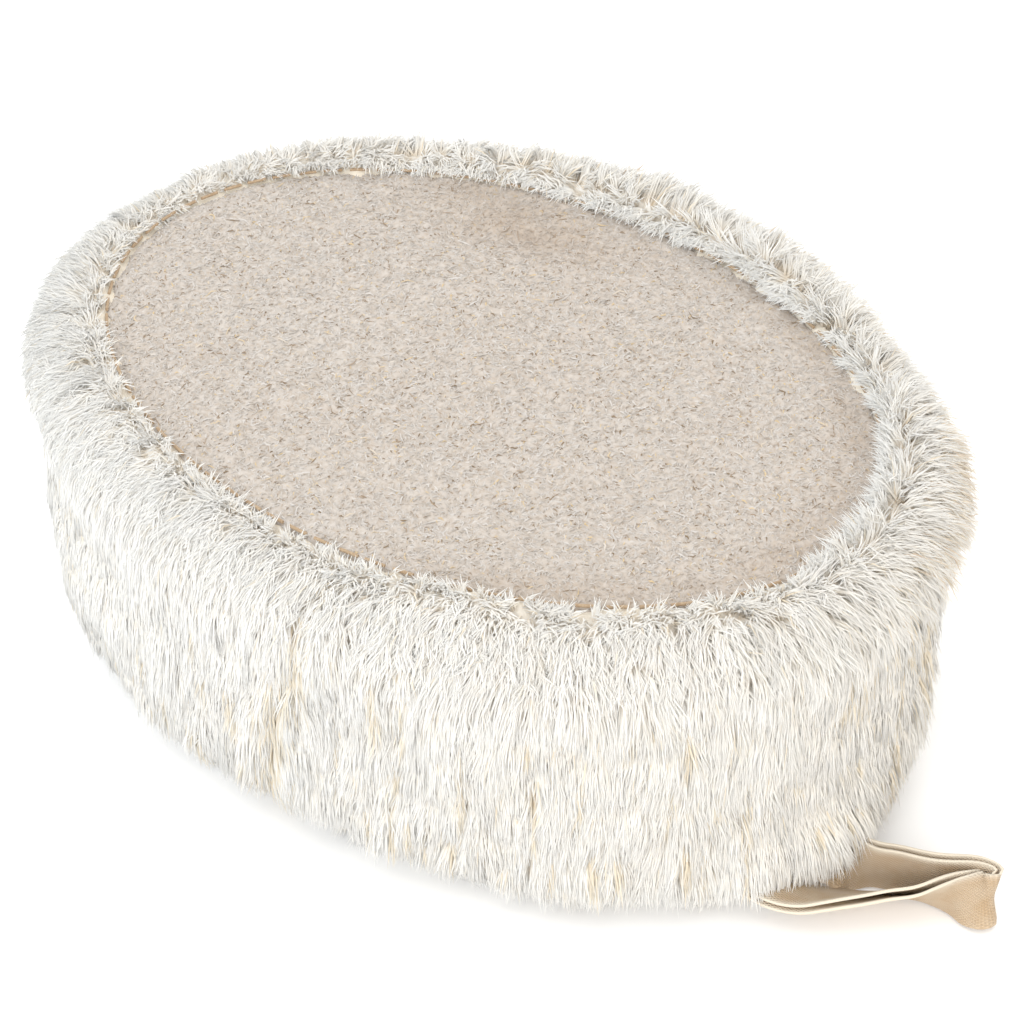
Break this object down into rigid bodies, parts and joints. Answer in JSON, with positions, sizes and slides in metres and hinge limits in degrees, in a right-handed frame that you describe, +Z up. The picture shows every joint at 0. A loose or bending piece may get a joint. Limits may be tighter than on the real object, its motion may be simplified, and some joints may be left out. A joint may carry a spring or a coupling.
{
  "type": "loofah bath scrubber pad",
  "caption": "Oval hand-held bath scrubber pad: pressed loofah face, foam core, long-pile plush band and back, and a sewn-in folded tape loop to hang it by.",
  "frame": {"origin": "centre of the flat underside, on the surface the pad lies on", "axes": "+Z up out of the loofah face, +X along the oval's long axis towards the end with the hanging loop"},
  "size_m": [0.168, 0.113, 0.0575],
  "materials": {
    "loofah": "matte, fine pressed plant fibre with dark and straw-coloured specks",
    "backing_cloth": "plain-weave cotton, matte",
    "foam": "open-cell sponge, matte",
    "plush": "long soft pile in strands, cream, matte with a faint sheen",
    "thread": "twisted cotton thread, matte",
    "tape": "unbleached cotton tape, plain weave, matte"
  },
  "bodies": {
    "pad": {"loofah_face": "loofah", "face_backing_cloth": "backing_cloth", "foam_core": "foam", "side_band": "plush", "back_panel": "plush", "face_seam_stitches": "thread", "back_seam_stitches": "thread", "closing_stitches": "thread", "band_join_stitches": "thread", "loop_sewn_ends": "tape", "loop_bartack_stitches": "thread"},
    "loop": {"hanging_loop": "tape"}
  },
  "joints": [
    {"name": "loop_swing", "type": "hinge", "parent": "pad", "child": "loop", "pos_m": [0.07, -0.0151, 0.0048], "axis": [-0.3616, -0.9323, 0], "range_deg": [-75, 45]}
  ]
}
